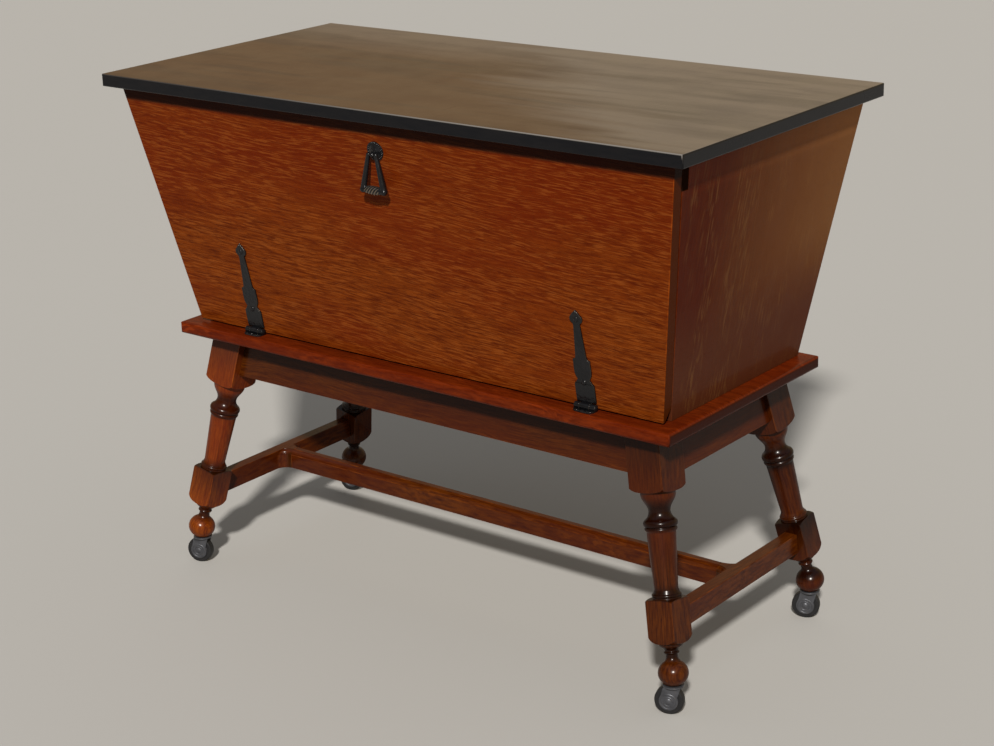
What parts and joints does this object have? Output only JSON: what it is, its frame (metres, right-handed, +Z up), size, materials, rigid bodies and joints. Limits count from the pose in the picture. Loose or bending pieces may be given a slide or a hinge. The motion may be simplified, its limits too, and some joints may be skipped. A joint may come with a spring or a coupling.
{
  "type": "fall-front dough bin",
  "caption": "Oak dough bin with splayed sides, a dark fixed top and a bottom-hinged fall front, on a turned and stretchered stand with swivel castors.",
  "frame": {"origin": "on the floor, under the middle of the top board", "axes": "+X along the length, to the right as seen from the front; +Y from the front to the back; +Z up"},
  "size_m": [1, 0.494, 0.778],
  "materials": {
    "top_wood": "dark stain under satin varnish",
    "front_oak": "quarter-sawn oak, amber varnish",
    "case_oak": "oak, dark brown varnish",
    "base_oak": "oak, red-brown varnish",
    "stand_oak": "oak, glossy red-brown varnish",
    "inner_wood": "bare wood",
    "black_iron": "forged, black lacquer",
    "plate_steel": "zinc plated",
    "catch_plastic": "matt",
    "castor_steel": "dull zinc",
    "castor_hub": "matt grey",
    "castor_tyre": "matt"
  },
  "bodies": {
    "root": {"top_board": "top_wood", "base_board": "base_oak", "side_panel_left": "case_oak", "side_panel_right": "case_oak", "back_panel": "case_oak", "front_rail": "case_oak", "top_cleats": "inner_wood", "floor_cleats": "inner_wood", "catch_magnets": "catch_plastic", "hinge_foot_left": "black_iron", "hinge_foot_right": "black_iron", "hinge_pins": "black_iron", "foot_screws": "black_iron", "apron_front": "stand_oak", "apron_back": "stand_oak", "apron_left": "stand_oak", "apron_right": "stand_oak", "leg_front_left": "stand_oak", "leg_front_right": "stand_oak", "leg_back_left": "stand_oak", "leg_back_right": "stand_oak", "stretcher_left": "stand_oak", "stretcher_right": "stand_oak", "stretcher_long": "stand_oak", "castor_sockets": "castor_steel"},
    "flap": {"fall_front": "front_oak", "strap_left": "black_iron", "strap_right": "black_iron", "catch_plates": "plate_steel", "strap_nails": "black_iron", "pull_rosette": "black_iron"},
    "bail": {"pull_bail": "black_iron"},
    "swivel_fl": {"castor_fork_fl": "castor_steel", "castor_axle_fl": "castor_steel"},
    "wheel_fl": {"castor_hub_fl": "castor_hub", "castor_tyre_fl": "castor_tyre"},
    "swivel_fr": {"castor_fork_fr": "castor_steel", "castor_axle_fr": "castor_steel"},
    "wheel_fr": {"castor_hub_fr": "castor_hub", "castor_tyre_fr": "castor_tyre"},
    "swivel_bl": {"castor_fork_bl": "castor_steel", "castor_axle_bl": "castor_steel"},
    "wheel_bl": {"castor_hub_bl": "castor_hub", "castor_tyre_bl": "castor_tyre"},
    "swivel_br": {"castor_fork_br": "castor_steel", "castor_axle_br": "castor_steel"},
    "wheel_br": {"castor_hub_br": "castor_hub", "castor_tyre_br": "castor_tyre"}
  },
  "joints": [
    {"name": "flap_hinge", "type": "hinge", "parent": "root", "child": "flap", "pos_m": [0, -0.16971, 0.4026], "axis": [1, 0, 0], "range_deg": [0, 95]},
    {"name": "bail_swing", "type": "hinge", "parent": "flap", "child": "bail", "pos_m": [0, -0.22931, 0.71436], "axis": [-1, 0, 0], "range_deg": [-11, 100]},
    {"name": "castor_swivel_fl", "type": "hinge", "parent": "root", "child": "swivel_fl", "pos_m": [-0.4394, -0.17638, 0.043], "axis": [0, 0, 1], "continuous": true},
    {"name": "castor_roll_fl", "type": "hinge", "parent": "swivel_fl", "child": "wheel_fl", "pos_m": [-0.4441, -0.1781, 0.02], "axis": [-0.342, 0.9397, 0], "continuous": true},
    {"name": "castor_swivel_fr", "type": "hinge", "parent": "root", "child": "swivel_fr", "pos_m": [0.4394, -0.17638, 0.043], "axis": [0, 0, 1], "continuous": true},
    {"name": "castor_roll_fr", "type": "hinge", "parent": "swivel_fr", "child": "wheel_fr", "pos_m": [0.43471, -0.1781, 0.02], "axis": [-0.342, 0.9397, 0], "continuous": true},
    {"name": "castor_swivel_bl", "type": "hinge", "parent": "root", "child": "swivel_bl", "pos_m": [-0.4394, 0.18138, 0.043], "axis": [0, 0, 1], "continuous": true},
    {"name": "castor_roll_bl", "type": "hinge", "parent": "swivel_bl", "child": "wheel_bl", "pos_m": [-0.4441, 0.17968, 0.02], "axis": [-0.342, 0.9397, 0], "continuous": true},
    {"name": "castor_swivel_br", "type": "hinge", "parent": "root", "child": "swivel_br", "pos_m": [0.4394, 0.18138, 0.043], "axis": [0, 0, 1], "continuous": true},
    {"name": "castor_roll_br", "type": "hinge", "parent": "swivel_br", "child": "wheel_br", "pos_m": [0.43471, 0.17968, 0.02], "axis": [-0.342, 0.9397, 0], "continuous": true}
  ]
}
